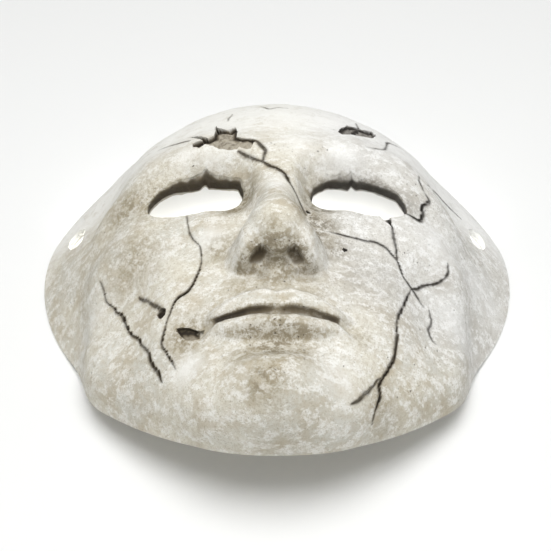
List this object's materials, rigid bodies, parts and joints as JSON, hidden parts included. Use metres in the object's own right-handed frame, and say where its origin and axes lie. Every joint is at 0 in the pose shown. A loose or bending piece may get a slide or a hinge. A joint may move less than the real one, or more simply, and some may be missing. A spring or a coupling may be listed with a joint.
{
  "type": "full-face mask",
  "caption": "Full-face mask cast in one thin shell, with open eyes, strap holes at the sides, cracks and chipped patches. It lies face up on its rim.",
  "frame": {"origin": "under the middle of the mask, on the surface that its rim lies on", "axes": "+X to the right of someone who looks at the face, +Y towards the forehead, +Z out of the face"},
  "size_m": [0.2104, 0.2004, 0.0945],
  "materials": {
    "casting": "matt off-white cast resin, mottled warm grey and ochre, with a dark umber wash in the cracks and hollows"
  },
  "bodies": {
    "root": {"mask": "casting"}
  },
  "joints": []
}
